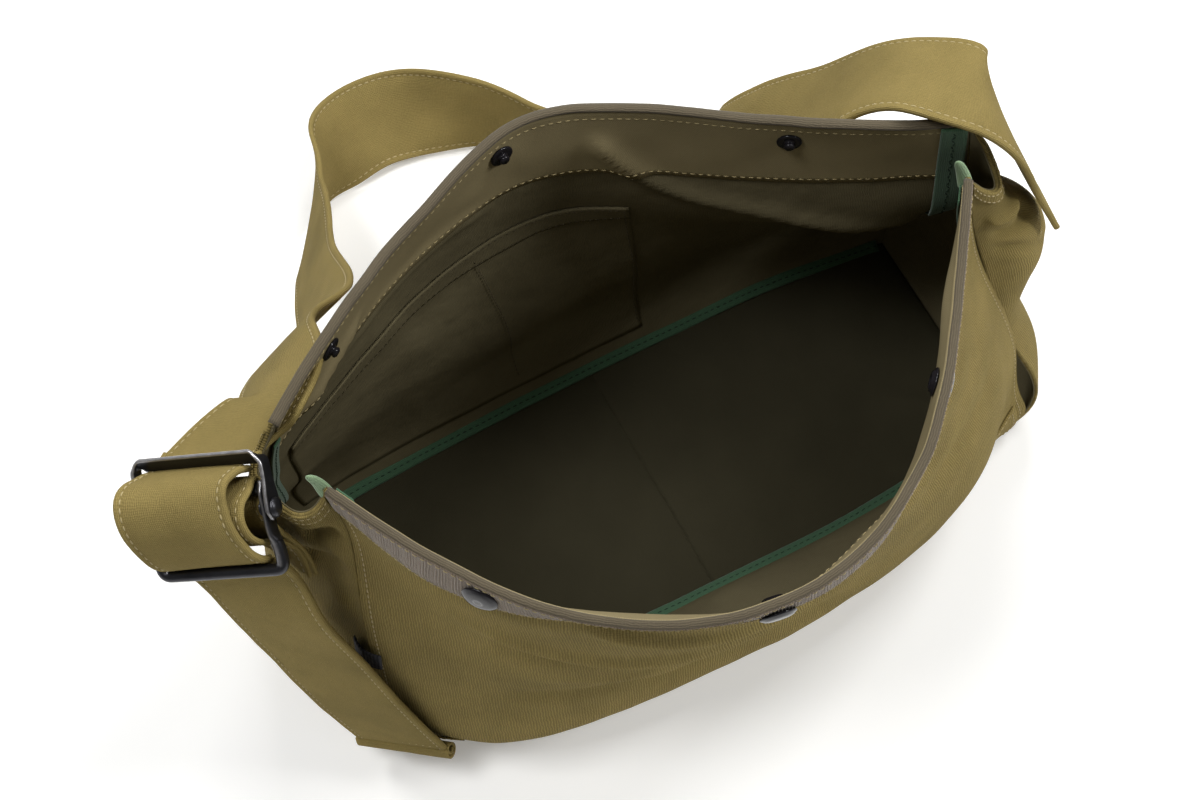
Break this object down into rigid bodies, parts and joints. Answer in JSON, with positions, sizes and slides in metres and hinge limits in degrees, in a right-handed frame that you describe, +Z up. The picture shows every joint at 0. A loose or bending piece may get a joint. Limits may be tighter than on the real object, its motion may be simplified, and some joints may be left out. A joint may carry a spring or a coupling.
{
  "type": "messenger bag",
  "caption": "Open-top canvas messenger bag with a lined body, snap-closed mouth, inner slip pocket and a wide shoulder strap through a lever buckle",
  "frame": {"origin": "middle of the bag's bottom, on the surface that it stands on", "axes": "+X along the bag's length to the right seen from the front, +Y to its back, +Z up"},
  "size_m": [0.4284, 0.4131, 0.2554],
  "materials": {
    "canvas": "olive khaki cotton canvas with a fine twill weave",
    "lining": "dark olive brown plain-weave lining",
    "facing": "grey brown facing cloth",
    "grosgrain": "taupe ribbed grosgrain tape",
    "green_tape": "green woven binding tape",
    "pale_green_tape": "pale green folded tape",
    "webbing": "black and grey ribbed webbing",
    "snap_metal": "glossy black nickel",
    "buckle_metal": "blackened steel, worn to silver on its edges"
  },
  "bodies": {
    "root": {"anchor_strap": "canvas", "bottom_lining_left": "lining", "bottom_lining_right": "lining", "bottom_panel": "canvas", "buckle_frame": "buckle_metal", "buckle_rivets": "buckle_metal", "corner_patch_left": "canvas", "corner_patch_right": "canvas", "front_bottom_binding": "green_tape", "front_facing": "facing", "front_left_corner_binding": "green_tape", "front_lining": "lining", "front_panel": "canvas", "front_right_corner_binding": "green_tape", "front_rim_piping": "grosgrain", "front_rim_tape": "grosgrain", "left_end_tab": "pale_green_tape", "left_gusset": "canvas", "left_lining": "lining", "rear_bottom_binding": "green_tape", "rear_facing": "facing", "rear_left_corner_binding": "green_tape", "rear_lining": "lining", "rear_panel": "canvas", "rear_right_corner_binding": "green_tape", "rear_rim_binding": "grosgrain", "right_end_tab": "pale_green_tape", "right_gusset": "canvas", "right_lining": "lining", "side_webbing_loop": "webbing", "slip_pocket": "lining", "snap_caps": "snap_metal", "snap_eyelets": "snap_metal", "snap_sockets": "snap_metal", "snap_studs": "snap_metal", "strap_anchor_right": "canvas", "strap_arch": "canvas", "strap_back_run": "canvas", "strap_end_hem": "canvas", "strap_rise_left": "canvas", "strap_rise_right": "canvas", "strap_tail": "canvas"},
    "lever": {"buckle_lever": "buckle_metal"}
  },
  "joints": [
    {"name": "buckle_lever_hinge", "type": "hinge", "parent": "root", "child": "lever", "pos_m": [-0.20627, -0.00062, 0.21058], "axis": [0.7672, -0.5027, 0.3984], "range_deg": [0, 60]}
  ]
}
